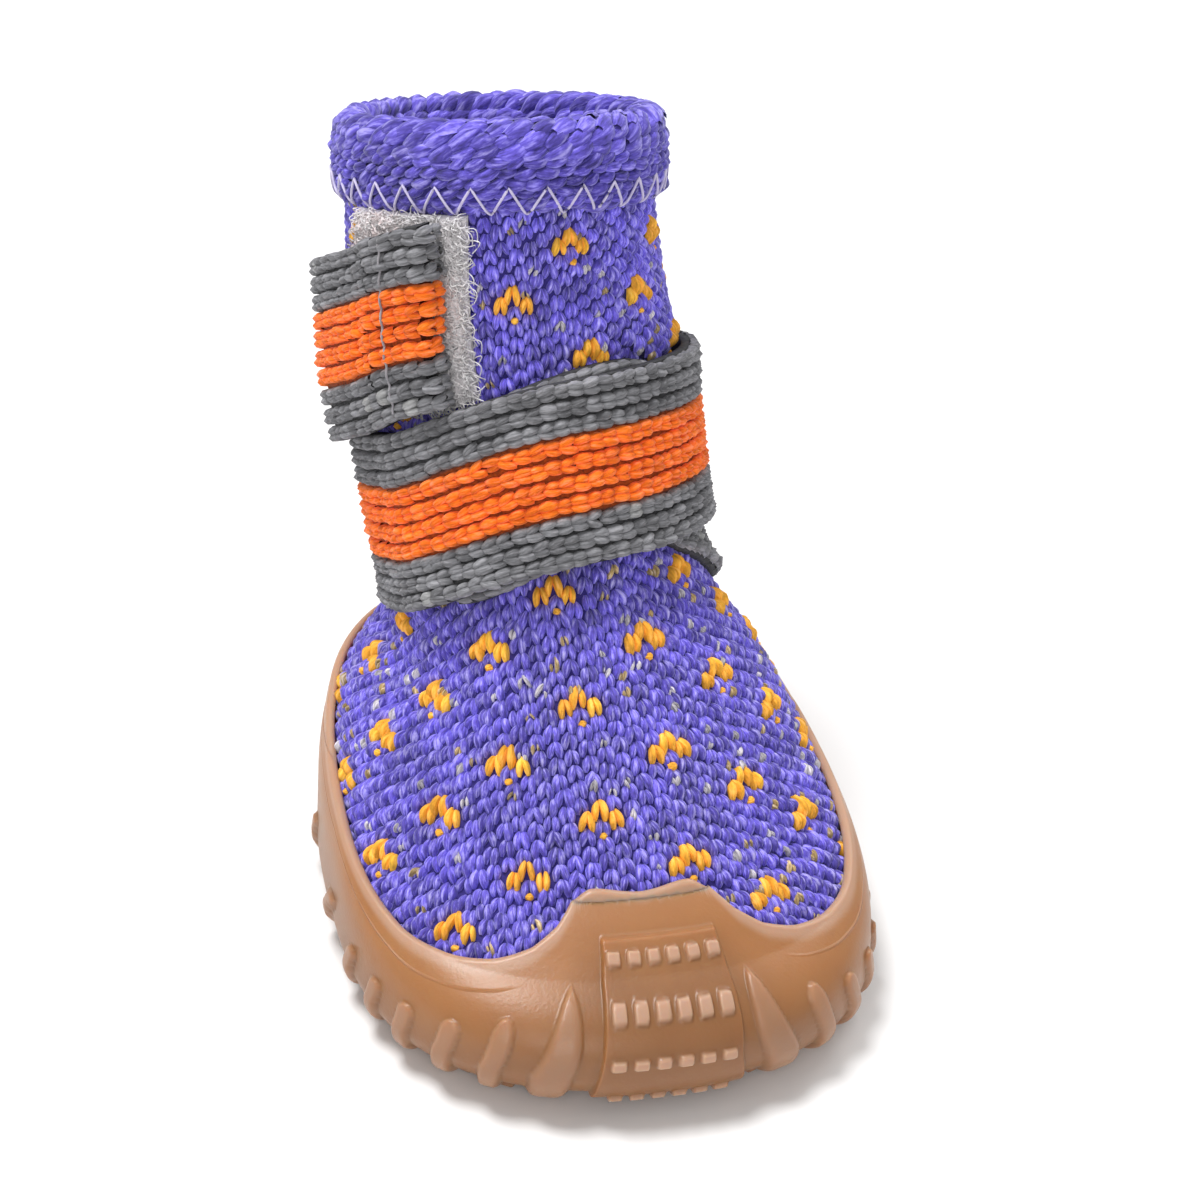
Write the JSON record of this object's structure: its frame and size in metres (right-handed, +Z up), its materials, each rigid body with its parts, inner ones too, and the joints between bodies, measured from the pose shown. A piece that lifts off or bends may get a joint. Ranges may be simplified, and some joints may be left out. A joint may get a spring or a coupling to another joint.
{
  "type": "dog shoe",
  "caption": "Knitted boot for a dog's paw in a moulded rubber cup sole, with a padded collar and a corded strap that winds round the ankle to a loop patch.",
  "frame": {"origin": "on the floor under the middle of the sole, on the middle lug's face", "axes": "+Z up, toe towards -Y, +X to the right of someone who faces the toe"},
  "size_m": [0.076, 0.1197, 0.112],
  "materials": {
    "rubber": "satin, slightly translucent moulded rubber",
    "lining": "matt woven footbed cloth",
    "knit": "matt plump knit with small yellow figures",
    "webbing": "matt corded knit webbing, grey at both edges",
    "felt": "fuzzy loop pile"
  },
  "bodies": {
    "root": {"outsole": "rubber", "insole": "lining", "upper": "knit", "collar": "knit", "strap_short": "webbing", "strap_long": "webbing", "loop_patch": "felt"}
  },
  "joints": []
}
